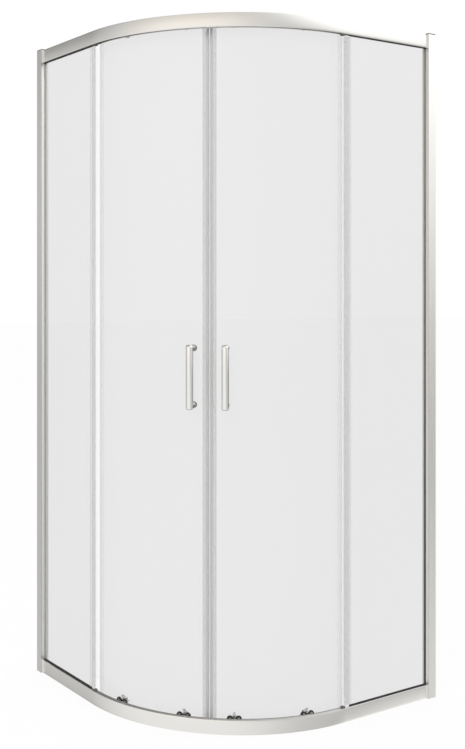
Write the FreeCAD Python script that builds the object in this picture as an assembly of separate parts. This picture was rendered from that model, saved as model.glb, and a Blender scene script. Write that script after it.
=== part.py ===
import FreeCAD, Part
import math
import os
from FreeCAD import Vector

# Quadrant shower enclosure: two flat fixed panes, two curved doors that slide in curved rails, and
# two wall channels. It stands on a shower tray in the corner of two walls, the planes x = -side / 2
# and y = +side / 2. Millimetres, +Z up. The origin is the middle of the footprint, at tray level.
# The left half is modelled. The right half is its mirror image across the diagonal y = -x.

# --- overall ---
side = 890.0                    # wall face to the outer face of the wall channel, both ways
height = 2000.0                 # tray to the top of the channel caps
curve_radius = 528.0            # plan radius of the outer face of the rails
channel_proud = 5.5             # how far the wall channels stand out past the face of the rails

# --- rails: insets are measured inwards from the outer face of the rail ---
rail_height = 40.0
rail_crown = 1.0                # bulge of the rounded outer face
rail_web = 2.6                  # inset of the inner side of the outer wall
rail_wall = 1.6
rail_depth = 29.0
groove_front = 4.0              # the groove that holds the fixed glass
groove_floor = 19.0             # floor of the lower groove, above the tray
shelf_height = 27.0             # the track shelf of the lower rail, above the tray
hanger_shelf = 5.0              # underside of the upper rail to the underside of its track shelf
groove_roof = 17.0              # underside of the upper rail to the roof of its glass groove
port_radius = 3.6               # screw ports along the rails
screw_radius = 2.0
screw_clearance = 0.05
infill_overhang = 1.4           # cover strip that closes the groove under the doors
infill_gap = 0.6                # between the cover strip and the walls of the groove
slip = 0.2                      # general clearance of pieces that slide together

# --- glass ---
glass_thickness = 6.0
gasket_wall = 2.0
gasket_base = 6.0
gasket_proud = 1.2              # rubber that shows past the rail
gasket_stop = 24.0              # the gasket and the flat of the seal strip end here, from the curve
fixed_edge = 2.0                # free edge of the fixed glass, from the start of the curve
door_inset = 37.0               # outer face of the door glass
door_floor_gap = 12.0
door_top_drop = 12.0            # top edge of the door glass below the caps
door_tail = 20.0                # straight tail of the door glass, past the start of the curve
drill_spare = 2.0               # how far a drill runs past both faces of the door glass

# --- wall channels, jambs and caps: reach is measured from the wall ---
channel_reach = 30.0
channel_wall = 1.6
channel_web = 2.0
jamb_back = 8.0
jamb_front = 31.0
jamb_wall = 1.6
jamb_inner = 18.0               # inset of the inner face of the jamb
jamb_slip = 0.4
bead_depth = 11.0               # how deep the glazing bead is let into the jamb
bead_wall = 1.4
glass_in_bead = 4.0             # back of the bead to the edge of the fixed glass
gasket_shy = 1.5                # face of the jamb to the rubber in the bead
cap_thickness = 3.0
cap_leg_length = 12.0
cap_leg_margin = 4.0
wall_hole_radius = 3.0
wall_hole_margin = 150.0        # first and last wall screw from the ends of the channel
wall_hole_count = 4
wall_hole_offset = 1.0          # wall holes from the middle of the channel, away from its outer leg
jamb_screw_margin = 300.0
jamb_screw_reach = 3.0          # tip of a jamb screw past the inner side of the jamb wall
screw_head_radius = 4.0
port_screw_head_radius = 3.0
screw_head_height = 2.2
screw_length = 20.0
cover_cap_radius = 6.0
cover_cap_wall = 1.0

# --- seals ---
seal_wall = 1.3
seal_gap = 0.1
seal_past_glass = 10.0          # how far the fixed strip stands past the edge of its glass
seal_end_clear = 5.0            # rail edge to the end of the strip
fin_reach = 30.0                # inset of the tip of the fixed fin
fin_thickness = 1.2
fin_floor = 62.0                # lowest point of the fins, above the rollers
tail_grip = 13.0                # strip on the tail of the door glass
tail_fin_reach = 22.0
magnet_strip_grip = 10.0        # strip on the meeting edge of the door glass
magnet_box = 9.4                # length of its magnet chamber
meeting_gap = 0.4               # chamber to the plane where the doors meet
magnet_wall = 1.1
seal_end_trim = 2.0

# --- glass stop blocks ---
stop_block_length = 10.5
stop_block_proud = 4.0
stop_block_gap = 0.5
stop_block_clear = 1.0          # stop block to the end of the cover strip
jack_screw_length = 20.0
jack_socket_radius = 1.0
jack_socket_depth = 1.5

# --- rollers ---
tail_roller_angle = 12.8        # degrees from the start of the curve
lead_roller_angle = 36.8
wheel_inset = 22.0              # outer side of the wheels
wheel_width = 5.2
wheel_chamfer = 0.6
track_clearance = 0.3           # tread to track
upper_wheel_radius = 11.0
upper_axle_radius = 3.0
lower_wheel_radius = 9.0
lower_wheel_spread = 12.0       # half the distance between the two wheels of a carriage
lower_axle_radius = 2.0
running_gap = 0.05
axle_head = 0.8
axle_head_rim = 1.5             # how far the head stands out round its axle
axle_head_gap = 0.3
upper_collar_radius = 5.0
upper_hub_radius = 9.0
upper_hub_length = 4.8
upper_stud_radius = 5.0
stud_clearance = 0.5
hub_to_glass = 0.5
plate_gap = 0.3
plate_thickness = 1.8
plate_lobe_radius = 7.0
plate_bar_low = 5.0             # bar of the carriage plate, below and above the axles
plate_bar_high = 1.5
stem_radius = 1.6
stem_root = 1.0                 # how deep the stem is set into the plate
stem_gap = 0.05
guide_half_width = 2.7
guide_height = 4.0
guide_front = 2.5               # stem centre to the front of its guide
hook_height = 2.5
hook_reach = 4.4
hook_lip = 1.2
release_travel = 4.0            # how far the hook pulls the carriage up
spring_shut = 2.7               # height left for the spring when the carriage is pulled up
release_spare = 1.0             # stem that stands above its guide at rest
lower_hub_radius = 6.0
lower_hub_length = 5.2
lower_hub_drop = 2.3            # centre of the glass hole below the axles
lower_stud_radius = 4.0
spring_radius = 2.6
spring_wire = 0.7
spring_gap = 0.1
upper_nut_radius = 11.0
lower_nut_radius = 6.0
cap_nut_height = 6.0
cap_nut_edge = 1.5
cap_nut_cover = 1.5
curve_gap = 0.3                 # flat discs against the hollow side of the curved glass

# --- door travel: each door turns about an upright line that stands in for its curved track ---
pivot_right = -30.1             # from the centre of the curve, for the left door
pivot_back = 92.9
door_travel = 23.47             # degrees
bumper_length = 12.0
bumper_height = 13.0
bumper_gap = 1.5
bumper_width = 8.0

# --- handles ---
handle_angle = 39.5             # degrees from the start of the curve
handle_height = 986.0           # middle of the bar above the tray
handle_length = 180.0
handle_spacing = 160.0          # between the posts
handle_radius = 10.0
handle_dome = 5.0
post_radius = 8.5
handle_standoff = 34.0          # outer face of the door glass to the centre of the bar
handle_hole_radius = 5.0
washer_radius = 9.7
washer_thickness = 1.0
handle_screw_radius = 3.0
handle_screw_depth = 14.0
handle_screw_spare = 2.0        # bottom of the threaded hole to the tip of its screw
handle_cap_radius = 9.0
handle_cap_height = 4.0
handle_cap_edge = 1.2

# --- worked out from the sizes above ---
half = side / 2
rail_face = half - channel_proud
curve_x = rail_face - curve_radius
curve_centre = Vector(curve_x, -curve_x, 0)
rail_top = height - cap_thickness
rail_under = rail_top - rail_height
rail_end = curve_x + half - jamb_front
groove_back = groove_front + 2 * gasket_wall + glass_thickness
fixed_inset = groove_front + gasket_wall
track_front = groove_back + rail_wall
hanger_track = rail_under + hanger_shelf + rail_wall
fixed_bottom = groove_floor + gasket_base
fixed_top = rail_under + groove_roof - gasket_base
bead_back = jamb_front - bead_depth
fixed_start = half - bead_back - glass_in_bead + curve_x
door_bottom = door_floor_gap
door_top = height - door_top_drop
door_back = door_inset + glass_thickness
meeting_angle = 45.0
glass_edge_gap = meeting_gap + magnet_box
upper_axle_z = hanger_track + track_clearance + upper_wheel_radius
lower_axle_z = shelf_height + track_clearance + lower_wheel_radius
lower_stud_z = lower_axle_z - lower_hub_drop
axle_tip = wheel_inset - axle_head_gap - axle_head
wheel_back = wheel_inset + wheel_width
hub_front = door_inset - hub_to_glass - upper_hub_length
stud_tip = door_back + curve_gap + cap_nut_height - cap_nut_cover
handle_inset = door_inset - handle_standoff
handle_post_heights = [handle_height - handle_spacing / 2, handle_height + handle_spacing / 2]
wall_hole_pitch = (rail_top - 2 * wall_hole_margin) / (wall_hole_count - 1)
wall_hole_heights = [wall_hole_margin + wall_hole_pitch * number for number in range(wall_hole_count)]
jamb_screw_heights = [jamb_screw_margin, rail_top / 2, rail_top - jamb_screw_margin]
jamb_screw_t = (jamb_back + bead_back) / 2 - half - curve_x
jamb_outer = channel_wall - channel_proud + jamb_slip
channel_inner = jamb_inner + jamb_slip + channel_wall
wall_hole_inset = (jamb_inner - channel_proud) / 2 + wall_hole_offset
roller_angles = {"tail": tail_roller_angle, "lead": lead_roller_angle}
pieces = {}


# --- helpers: t runs along the rail from the start of the curve, towards the doors' meeting line ---
def block(t_span, inset_span, z_span):
    """A box in the rail's own directions, at the start of the curve."""
    corner = Vector(curve_x + t_span[0], inset_span[0] - rail_face, z_span[0])
    size = [span[1] - span[0] for span in (t_span, inset_span, z_span)]
    return Part.makeBox(*size, corner)


def wall_block(reach_span, inset_span, z_span):
    """A box placed by its reach from the left wall."""
    shift = -half - curve_x
    return block([reach_span[0] + shift, reach_span[1] + shift], inset_span, z_span)


def across(radius, inset_span, t, z):
    """A cylinder that points straight through the rail and the glass."""
    start = Vector(curve_x + t, inset_span[0] - rail_face, z)
    return Part.makeCylinder(radius, inset_span[1] - inset_span[0], start, Vector(0, 1, 0))


def along(radius, reach_span, inset, z):
    """A cylinder that runs along the straight of the rail, placed by its reach from the wall."""
    start = Vector(reach_span[0] - half, inset - rail_face, z)
    return Part.makeCylinder(radius, reach_span[1] - reach_span[0], start, Vector(1, 0, 0))


def upright(radius, inset, z_span):
    """An upright cylinder at the start of the curve."""
    start = Vector(curve_x, inset - rail_face, z_span[0])
    return Part.makeCylinder(radius, z_span[1] - z_span[0], start)


def turned(shape, angle):
    """The shape carried round the curve by an angle in degrees."""
    moved = shape.copy()
    moved.rotate(curve_centre, Vector(0, 0, 1), angle)
    return moved


def mirrored(shape):
    """The same piece on the right half."""
    return shape.mirror(Vector(0, 0, 0), Vector(1, 1, 0))


def arc_angle(length, inset):
    """Degrees of curve that a length takes at an inset."""
    return math.degrees(length / (curve_radius - inset))


def on_curve(angle, inset, z):
    """A point of the curve."""
    radius = curve_radius - inset
    turn = math.radians(angle)
    return curve_centre + Vector(radius * math.sin(turn), -radius * math.cos(turn), z)


def curved_band(inset_span, angle_span, z_span):
    """An upright band that follows the curve between two insets and two angles."""
    angles = [angle_span[0], (angle_span[0] + angle_span[1]) / 2, angle_span[1]]
    outer = [on_curve(angle, inset_span[0], z_span[0]) for angle in angles]
    inner = [on_curve(angle, inset_span[1], z_span[0]) for angle in reversed(angles)]
    edges = [
        Part.Arc(*outer).toShape(),
        Part.LineSegment(outer[2], inner[0]).toShape(),
        Part.Arc(*inner).toShape(),
        Part.LineSegment(inner[2], outer[0]).toShape(),
    ]
    face = Part.Face(Part.Wire(edges))
    return face.extrude(Vector(0, 0, z_span[1] - z_span[0]))


def section_face(points, crown=None):
    """A rail section from (inset, z) points. With a crown, its first side is an arc through it."""
    corners = [Vector(curve_x, inset - rail_face, z) for inset, z in points]
    edges = []
    for index, corner in enumerate(corners):
        following = corners[(index + 1) % len(corners)]
        if index == 0 and crown:
            middle = Vector(curve_x, crown[0] - rail_face, crown[1])
            edges.append(Part.Arc(corner, middle, following).toShape())
        else:
            edges.append(Part.LineSegment(corner, following).toShape())
    return Part.Face(Part.Wire(edges))


def port_face(radius, inset, z):
    """A round outline in the plane of a rail section."""
    circle = Part.Circle(Vector(curve_x, inset - rail_face, z), Vector(1, 0, 0), radius)
    return Part.Face(Part.Wire([circle.toShape()]))


def run_rail(section):
    """The section run along the left straight, round the curve and along the right straight."""
    straight = section.extrude(Vector(-rail_end, 0, 0))
    curve = section.revolve(curve_centre, Vector(0, 0, 1), 90)
    return straight.fuse([curve, mirrored(straight)]).removeSplitter()


def keep(name, shapes):
    """Hold one named piece, or a group of like ones, to be written at the end."""
    pieces[name] = shapes if isinstance(shapes, list) else [shapes]


def keep_pair(name, shapes):
    """Hold a left piece and its mirror image."""
    group = shapes if isinstance(shapes, list) else [shapes]
    keep("left_" + name, group)
    keep("right_" + name, [mirrored(shape) for shape in group])


def both(shapes):
    """A left group with its mirror image, for like pieces that share a node."""
    return shapes + [mirrored(shape) for shape in shapes]


# --- lower rail ---
lower_ports = [
    [rail_web + port_radius, rail_wall + port_radius],
    [rail_web + port_radius, groove_floor - rail_wall - port_radius],
]


def lower_rail_section():
    outline = section_face([
        [rail_crown, 0],
        [rail_crown, rail_height],
        [groove_front, rail_height],
        [groove_front, rail_height - rail_wall],
        [rail_web, rail_height - rail_wall],
        [rail_web, groove_floor],
        [groove_back, groove_floor],
        [groove_back, shelf_height],
        [rail_depth, shelf_height],
        [rail_depth, 0],
    ], crown=[0, rail_height / 2])
    under_track = section_face([
        [track_front, rail_wall],
        [track_front, shelf_height - rail_wall],
        [rail_depth - rail_wall, shelf_height - rail_wall],
        [rail_depth - rail_wall, rail_wall],
    ])
    under_groove = section_face([
        [rail_web, rail_wall],
        [rail_web, groove_floor - rail_wall],
        [groove_back, groove_floor - rail_wall],
        [groove_back, rail_wall],
    ])
    section = outline.cut(under_track).cut(under_groove)
    for inset, z in lower_ports:
        section = section.fuse(port_face(port_radius, inset, z))
    for inset, z in lower_ports:
        section = section.cut(port_face(screw_radius + screw_clearance, inset, z))
    return section.removeSplitter().Faces[0]


keep("bottom_rail", run_rail(lower_rail_section()))

# --- upper rail ---
upper_ports = [
    [rail_web + port_radius, rail_top - rail_wall - port_radius],
    [rail_web + port_radius, rail_under + groove_roof + rail_wall + port_radius],
]


def upper_rail_section():
    roof = rail_under + groove_roof
    outline = section_face([
        [rail_crown, rail_under],
        [rail_crown, rail_top],
        [rail_depth, rail_top],
        [rail_depth, rail_top - rail_wall],
        [rail_web, rail_top - rail_wall],
        [rail_web, roof + rail_wall],
        [track_front, roof + rail_wall],
        [track_front, hanger_track],
        [rail_depth, hanger_track],
        [rail_depth, hanger_track - rail_wall],
        [track_front, hanger_track - rail_wall],
        [track_front, rail_under],
        [groove_back, rail_under],
        [groove_back, roof],
        [rail_web, roof],
        [rail_web, rail_under + rail_wall],
        [groove_front, rail_under + rail_wall],
        [groove_front, rail_under],
    ], crown=[0, rail_under + rail_height / 2])
    section = outline
    for inset, z in upper_ports:
        section = section.fuse(port_face(port_radius, inset, z))
    for inset, z in upper_ports:
        section = section.cut(port_face(screw_radius + screw_clearance, inset, z))
    return section.removeSplitter().Faces[0]


keep("top_rail", run_rail(upper_rail_section()))

# --- cover strip of the lower groove, under the doors ---
stop_block_t = [stop_block_gap - fixed_edge, stop_block_gap - fixed_edge + stop_block_length]
infill_start = arc_angle(stop_block_t[1] + stop_block_clear, groove_front)
infill_span = [infill_start, 90 - infill_start]
infill_plate = curved_band(
    [groove_front + infill_gap, groove_back + infill_overhang],
    infill_span,
    [rail_height - rail_wall, rail_height],
)
infill_leg = curved_band(
    [groove_back - infill_gap - rail_wall, groove_back - infill_gap],
    infill_span,
    [groove_floor, rail_height - rail_wall],
)
keep("groove_cover", infill_plate.fuse(infill_leg).removeSplitter())


# --- wall channel and its cap ---
def wall_channel():
    leg = [jamb_inner + jamb_slip, channel_inner]
    outside = wall_block([0, channel_reach], [-channel_proud, channel_inner], [0, rail_top])
    room = [channel_wall - channel_proud, leg[0]]
    channel = outside.cut(wall_block([channel_web, channel_reach], room, [0, rail_top]))
    for z in wall_hole_heights:
        channel = channel.cut(along(wall_hole_radius, [0, channel_web], wall_hole_inset, z))
    for z in jamb_screw_heights:
        channel = channel.cut(across(screw_radius + screw_clearance, leg, jamb_screw_t, z))
    return channel


keep_pair("wall_channel", wall_channel())

cap_plate = wall_block([0, jamb_front], [-channel_proud, channel_inner], [rail_top, height])
cap_leg = wall_block(
    [jamb_back + cap_leg_margin, jamb_front - jamb_wall - screw_head_height - cap_leg_margin],
    [jamb_outer + cap_leg_margin, jamb_inner - cap_leg_margin],
    [rail_top - cap_leg_length, rail_top],
)
keep("channel_caps", both([cap_plate.fuse(cap_leg)]))


# --- jamb: the box section that slides in the wall channel and carries the rails. Its face is cut
# open for the glazing bead between the rails, and for the glass behind their ends ---
bead_insets = [groove_front - bead_wall, groove_back + bead_wall]


def jamb():
    outside = wall_block([jamb_back, jamb_front], [jamb_outer, jamb_inner], [0, rail_top])
    inside = wall_block(
        [jamb_back + jamb_wall, jamb_front - jamb_wall],
        [jamb_outer + jamb_wall, jamb_inner - jamb_wall],
        [0, rail_top],
    )
    wall = [jamb_front - jamb_wall, jamb_front]
    bead_room = [bead_insets[0] - slip, bead_insets[1] + slip]
    box = outside.cut(inside).cut(wall_block(wall, bead_room, [rail_height, rail_under]))
    box = box.cut(wall_block(wall, [groove_front, groove_back], [groove_floor, rail_under + groove_roof]))
    for inset, z in lower_ports + upper_ports:
        box = box.cut(along(screw_radius + screw_clearance, wall, inset, z))
    for z in jamb_screw_heights:
        leg = [jamb_inner - jamb_wall, jamb_inner]
        box = box.cut(across(screw_radius + screw_clearance, leg, jamb_screw_t, z))
    return box


keep_pair("jamb", jamb())


# --- screws: rail screws run from inside the jamb into the rail's ports ---
def rail_screw(inset, z):
    seat = jamb_front - jamb_wall
    head = along(port_screw_head_radius, [seat - screw_head_height, seat], inset, z)
    shank = along(screw_radius, [seat, seat + screw_length], inset, z)
    return head.fuse(shank)


def jamb_screw(z):
    seat = channel_inner
    head = across(screw_head_radius, [seat, seat + screw_head_height], jamb_screw_t, z)
    tip = jamb_inner - jamb_wall - jamb_screw_reach
    shank = across(screw_radius, [tip, seat], jamb_screw_t, z)
    return head.fuse(shank)


def cover_cap(z):
    seat = channel_inner
    room = screw_head_height + slip
    cup = across(cover_cap_radius, [seat, seat + room + cover_cap_wall], jamb_screw_t, z)
    rim = max(cup.Edges, key=lambda edge: edge.CenterOfMass.y)
    cup = cup.makeFillet(cover_cap_wall, [rim])
    return cup.cut(across(screw_head_radius + slip, [seat, seat + room], jamb_screw_t, z))


keep("rail_screws", both([rail_screw(inset, z) for inset, z in lower_ports + upper_ports]))
keep("jamb_screws", both([jamb_screw(z) for z in jamb_screw_heights]))
keep("jamb_screw_caps", both([cover_cap(z) for z in jamb_screw_heights]))


# --- glazing bead, let into the face of the jamb between the rails ---
bead_z = [rail_height + slip, rail_under - slip]
bead_out = wall_block([bead_back, jamb_front], bead_insets, bead_z)
bead_in = wall_block([bead_back + bead_wall, jamb_front], [groove_front, groove_back], bead_z)
keep("glazing_beads", both([bead_out.cut(bead_in)]))

# --- fixed glass ---
fixed_span = [-fixed_start, -fixed_edge]
fixed_insets = [fixed_inset, fixed_inset + glass_thickness]
keep_pair("fixed_glass", block(fixed_span, fixed_insets, [fixed_bottom, fixed_top]))


# --- glazing gaskets: rubber channels on three edges of each fixed pane ---
def level_gasket(z_outer, z_inner):
    body = block([-fixed_start, -gasket_stop], [groove_front, groove_back], z_outer)
    return body.cut(block([-fixed_start, -gasket_stop], fixed_insets, z_inner))


def upright_gasket():
    z_span = [rail_height + gasket_proud + slip, rail_under - gasket_proud - slip]
    reach_span = [bead_back + bead_wall, jamb_front - gasket_shy]
    body = wall_block(reach_span, [groove_front, groove_back], z_span)
    return body.cut(wall_block([bead_back + glass_in_bead, reach_span[1]], fixed_insets, z_span))


low_lip = rail_height + gasket_proud
high_lip = rail_under - gasket_proud
keep("glazing_gaskets", both([
    level_gasket([groove_floor, low_lip], [fixed_bottom, low_lip]),
    level_gasket([high_lip, rail_under + groove_roof], [high_lip, fixed_top]),
    upright_gasket(),
]))


# --- seal strip on the free edge of the fixed glass, with a fin that reaches towards the door ---
def fixed_seal():
    z_span = [rail_height + seal_end_clear, rail_under - seal_end_clear]
    tip = seal_past_glass - fixed_edge
    outer = fixed_inset - seal_gap - seal_wall
    inner = fixed_inset + glass_thickness + seal_gap + seal_wall
    sleeve = block([-gasket_stop, tip], [outer, inner], z_span)
    slot = block([-gasket_stop, slip - fixed_edge], [outer + seal_wall, inner - seal_wall], z_span)
    hollow = block(
        [slip - fixed_edge + seal_wall, tip - seal_wall],
        [outer + seal_wall, inner - seal_wall],
        z_span,
    )
    fin = block([tip - fin_thickness, tip], [inner, fin_reach], [fin_floor, z_span[1]])
    return sleeve.cut(slot).cut(hollow).fuse(fin).removeSplitter()


keep_pair("fixed_seal", fixed_seal())


# --- stop blocks that lock the fixed glass in its grooves, each with a jack screw ---
def stop_block(z_span, screw_span):
    body = block(stop_block_t, [groove_front + slip, groove_back - slip], z_span)
    bore = upright(screw_radius + screw_clearance, (groove_front + groove_back) / 2, screw_span)
    bore.translate(Vector((stop_block_t[0] + stop_block_t[1]) / 2, 0, 0))
    return body.cut(bore)


def jack_screw(screw_span):
    middle = (groove_front + groove_back) / 2
    screw = upright(screw_radius, middle, screw_span)
    socket_z = [screw_span[0], screw_span[0] + jack_socket_depth]
    if screw_span[0] < rail_height:
        socket_z = [screw_span[1] - jack_socket_depth, screw_span[1]]
    screw = screw.cut(upright(jack_socket_radius, middle, socket_z))
    screw.translate(Vector((stop_block_t[0] + stop_block_t[1]) / 2, 0, 0))
    return screw


low_block_z = [groove_floor, rail_height + stop_block_proud]
high_block_z = [rail_under - stop_block_proud, rail_under + groove_roof]
low_screw_z = [low_block_z[1] - jack_screw_length, low_block_z[1]]
high_screw_z = [high_block_z[0], high_block_z[1] - rail_wall]
stop_blocks = [stop_block(low_block_z, low_screw_z), stop_block(high_block_z, high_screw_z)]
keep("glass_stop_blocks", both(stop_blocks))
keep("jack_screws", both([jack_screw(low_screw_z), jack_screw(high_screw_z)]))


# --- door glass ---
def door_glass():
    lead_angle = meeting_angle - arc_angle(glass_edge_gap + slip, door_inset)
    z_span = [door_bottom, door_top]
    pane = curved_band([door_inset, door_back], [0, lead_angle], z_span)
    tail = block([-door_tail, 0], [door_inset, door_back], z_span)
    pane = pane.fuse(tail).removeSplitter()
    drill = [door_inset - drill_spare, door_back + drill_spare]
    for z in handle_post_heights:
        pane = pane.cut(turned(across(handle_hole_radius, drill, 0, z), handle_angle))
    for angle in roller_angles.values():
        upper = across(upper_stud_radius + stud_clearance, drill, 0, upper_axle_z)
        lower = across(lower_stud_radius + stud_clearance, drill, 0, lower_stud_z)
        pane = pane.cut(turned(upper, angle)).cut(turned(lower, angle))
    return pane


keep_pair("door_glass", door_glass())


# --- magnetic strip on the meeting edge, and the magnet inside it ---
def magnet_strip():
    z_span = [door_bottom + seal_end_trim, door_top - seal_end_trim]
    outer = door_inset - seal_gap - seal_wall
    inner = door_back + seal_gap + seal_wall
    end = meeting_angle - arc_angle(meeting_gap, door_inset)
    box_start = meeting_angle - arc_angle(glass_edge_gap, door_inset)
    start = box_start - arc_angle(magnet_strip_grip, door_inset)
    body = curved_band([outer, inner], [start, end], z_span)
    slot = curved_band([outer + seal_wall, inner - seal_wall], [start, box_start], z_span)
    chamber = curved_band(
        [outer + magnet_wall, inner - magnet_wall],
        [box_start + arc_angle(magnet_wall, door_inset), end - arc_angle(magnet_wall, door_inset)],
        z_span,
    )
    return body.cut(slot).cut(chamber)


def magnet_bar():
    z_span = [door_bottom + seal_end_trim, door_top - seal_end_trim]
    outer = door_inset - seal_gap - seal_wall + magnet_wall + slip
    inner = door_back + seal_gap + seal_wall - magnet_wall - slip
    margin = magnet_wall + slip
    angles = [
        meeting_angle - arc_angle(glass_edge_gap - margin, door_inset),
        meeting_angle - arc_angle(meeting_gap + margin, door_inset),
    ]
    return curved_band([outer, inner], angles, z_span)


keep_pair("magnet_strip", magnet_strip())
keep_pair("magnet_bar", magnet_bar())


# --- seal on the tail of the door glass, with a fin that overlaps the fixed one ---
def tail_seal():
    z_span = [door_bottom + seal_end_trim, door_top - seal_end_trim]
    outer = door_inset - seal_gap - seal_wall
    inner = door_back + seal_gap + seal_wall
    end = -door_tail - slip - seal_wall
    grip = tail_grip - door_tail
    body = block([end, grip], [outer, inner], z_span)
    slot = block([end + seal_wall, grip], [outer + seal_wall, inner - seal_wall], z_span)
    fin_z = [fin_floor, rail_under - seal_end_clear]
    fin = block([end, end + fin_thickness], [tail_fin_reach, outer], fin_z)
    return body.cut(slot).fuse(fin).removeSplitter()


keep_pair("tail_seal", tail_seal())


# --- handle: a round bar on two posts, screwed through the glass from inside ---
def handle():
    z_span = [handle_height - handle_length / 2, handle_height + handle_length / 2]
    bar = upright(handle_radius, handle_inset, z_span)
    rims = [edge for edge in bar.Edges if edge.isClosed()]
    body = bar.makeFillet(handle_dome, rims)
    for z in handle_post_heights:
        body = body.fuse(across(post_radius, [handle_inset, door_inset - washer_thickness], 0, z))
    for z in handle_post_heights:
        tip = door_inset - washer_thickness
        body = body.cut(across(handle_screw_radius + running_gap, [tip - handle_screw_depth, tip], 0, z))
    return turned(body, handle_angle)


def handle_washer(inset, z):
    ring = across(washer_radius, [inset, inset + washer_thickness], 0, z)
    ring = ring.cut(across(handle_hole_radius, [inset, inset + washer_thickness], 0, z))
    return turned(ring, handle_angle)


def handle_screw(z):
    seat = door_back + curve_gap + washer_thickness
    head = across(handle_cap_radius, [seat, seat + handle_cap_height], 0, z)
    rim = max(head.Edges, key=lambda edge: edge.CenterOfMass.y)
    head = head.makeFillet(handle_cap_edge, [rim])
    tip = door_inset - washer_thickness - handle_screw_depth + handle_screw_spare
    shank = across(handle_screw_radius, [tip, seat], 0, z)
    return turned(head.fuse(shank), handle_angle)


washer_insets = [door_inset - washer_thickness, door_back + curve_gap]
washers = [handle_washer(inset, z) for z in handle_post_heights for inset in washer_insets]
keep_pair("handle", handle())
keep_pair("handle_washers", washers)
keep_pair("handle_screws", [handle_screw(z) for z in handle_post_heights])


# --- rollers ---
def wheel(radius, bore_radius, t, z):
    """A wheel with chamfered tread edges."""
    disc = across(radius, [wheel_inset, wheel_back], t, z)
    disc = disc.makeChamfer(wheel_chamfer, [edge for edge in disc.Edges if edge.isClosed()])
    return disc.cut(across(bore_radius, [wheel_inset, wheel_back], t, z))


def axle(radius, end, t, z):
    """An axle with its retaining head on the outer side of the wheel."""
    head = across(radius + axle_head_rim, [axle_tip, axle_tip + axle_head], t, z)
    return head.fuse(across(radius, [axle_tip, end], t, z))


def upper_hanger():
    """The axle, hub and glass stud of an upper roller, turned from one bar."""
    body = axle(upper_axle_radius, hub_front, 0, upper_axle_z)
    body = body.fuse(across(upper_collar_radius, [wheel_back + plate_gap, hub_front], 0, upper_axle_z))
    hub_back = hub_front + upper_hub_length
    body = body.fuse(across(upper_hub_radius, [hub_front, hub_back], 0, upper_axle_z))
    return body.fuse(across(upper_stud_radius, [hub_back, stud_tip], 0, upper_axle_z)).removeSplitter()


plate_front = wheel_back + plate_gap
plate_back = plate_front + plate_thickness
stem_inset = (plate_front + plate_back) / 2
plate_top = lower_axle_z + plate_bar_high
guide_under = plate_top + release_travel + spring_shut
guide_z = [guide_under, guide_under + guide_height]
lower_hub_front = door_inset - hub_to_glass - lower_hub_length


def lower_carriage():
    """Plate, two axles, stem and pull hook of a lower roller."""
    body = block(
        [-lower_wheel_spread, lower_wheel_spread],
        [plate_front, plate_back],
        [lower_axle_z - plate_bar_low, plate_top],
    )
    for t in (-lower_wheel_spread, lower_wheel_spread):
        body = body.fuse(across(plate_lobe_radius, [plate_front, plate_back], t, lower_axle_z))
        body = body.fuse(axle(lower_axle_radius, plate_front, t, lower_axle_z))
    stem_top = guide_z[1] + release_spare
    body = body.fuse(upright(stem_radius, stem_inset, [plate_top - stem_root, stem_top]))
    half_width = guide_half_width
    hook_z = [stem_top, stem_top + hook_height]
    hook = block([-half_width, half_width], [stem_inset - hook_reach, stem_inset + stem_radius], hook_z)
    lip = block(
        [-half_width, half_width],
        [stem_inset - hook_reach, stem_inset - hook_reach + hook_lip],
        [stem_top - release_spare, stem_top],
    )
    return body.fuse([hook, lip]).removeSplitter()


def lower_mount():
    """Guide, arm, hub and glass stud of a lower roller."""
    hub_back = lower_hub_front + lower_hub_length
    body = across(lower_hub_radius, [lower_hub_front, hub_back], 0, lower_stud_z)
    width = [-guide_half_width, guide_half_width]
    guide = block(width, [stem_inset - guide_front, hub_back], guide_z)
    arm = block(width, [lower_hub_front, hub_back], [lower_stud_z, guide_z[0]])
    body = body.fuse([guide, arm, across(lower_stud_radius, [hub_back, stud_tip], 0, lower_stud_z)])
    return body.cut(upright(stem_radius + stem_gap, stem_inset, guide_z)).removeSplitter()


def release_spring():
    """The coil spring round the stem, as the sleeve that it fills."""
    z_span = [plate_top + spring_gap, guide_z[0] - spring_gap]
    sleeve = upright(spring_radius, stem_inset, z_span)
    return sleeve.cut(upright(spring_radius - spring_wire, stem_inset, z_span))


def cap_nut(radius, stud_radius, z):
    """Domed nut on the inner face of the glass."""
    seat = door_back + curve_gap
    body = across(radius, [seat, seat + cap_nut_height], 0, z)
    rim = max(body.Edges, key=lambda edge: edge.CenterOfMass.y)
    body = body.makeFillet(cap_nut_edge, [rim])
    return body.cut(across(stud_radius + running_gap, [seat, stud_tip], 0, z))


for name, angle in roller_angles.items():
    upper = wheel(upper_wheel_radius, upper_axle_radius + running_gap, 0, upper_axle_z)
    keep_pair("upper_wheel_" + name, turned(upper, angle))
    keep_pair("carriage_" + name, turned(lower_carriage(), angle))
    keep_pair("release_spring_" + name, turned(release_spring(), angle))
    for number, t in enumerate((-lower_wheel_spread, lower_wheel_spread), start=1):
        small = wheel(lower_wheel_radius, lower_axle_radius + running_gap, t, lower_axle_z)
        keep_pair("lower_wheel_%s_%d" % (name, number), turned(small, angle))

keep_pair("roller_hangers", [turned(upper_hanger(), angle) for angle in roller_angles.values()])
keep_pair("roller_mounts", [turned(lower_mount(), angle) for angle in roller_angles.values()])
nuts = [
    cap_nut(upper_nut_radius, upper_stud_radius, upper_axle_z),
    cap_nut(lower_nut_radius, lower_stud_radius, lower_stud_z),
]
keep_pair("cap_nuts", [turned(nut, angle) for angle in roller_angles.values() for nut in nuts])


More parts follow.
